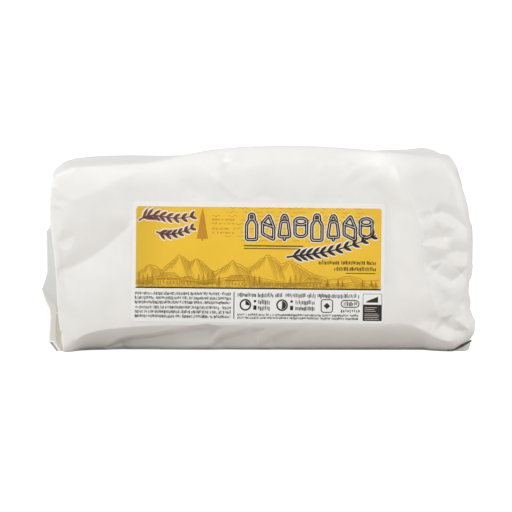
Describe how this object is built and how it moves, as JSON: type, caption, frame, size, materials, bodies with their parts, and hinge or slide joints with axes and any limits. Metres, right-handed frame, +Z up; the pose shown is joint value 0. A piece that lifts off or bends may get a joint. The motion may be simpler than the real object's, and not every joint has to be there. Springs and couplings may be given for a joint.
{
  "type": "wrapped taleggio cheese",
  "caption": "Oblong block of soft washed-rind cheese shut in white waxed paper, with folded ends and a flat printed label on its front, standing on a long narrow side.",
  "frame": {"origin": "middle of the underside, on the surface that the block stands on", "axes": "+X along the block's length, towards the crumpled end; -Y is the labelled front, so +Y points to the back; +Z up"},
  "size_m": [0.2464, 0.069, 0.1168],
  "materials": {
    "wrap": "white waxed paper with a soft gloss",
    "label": "coated label paper, printed in yellow over white"
  },
  "bodies": {
    "root": {"wrapped_cheese": "wrap", "label": "label"}
  },
  "joints": []
}
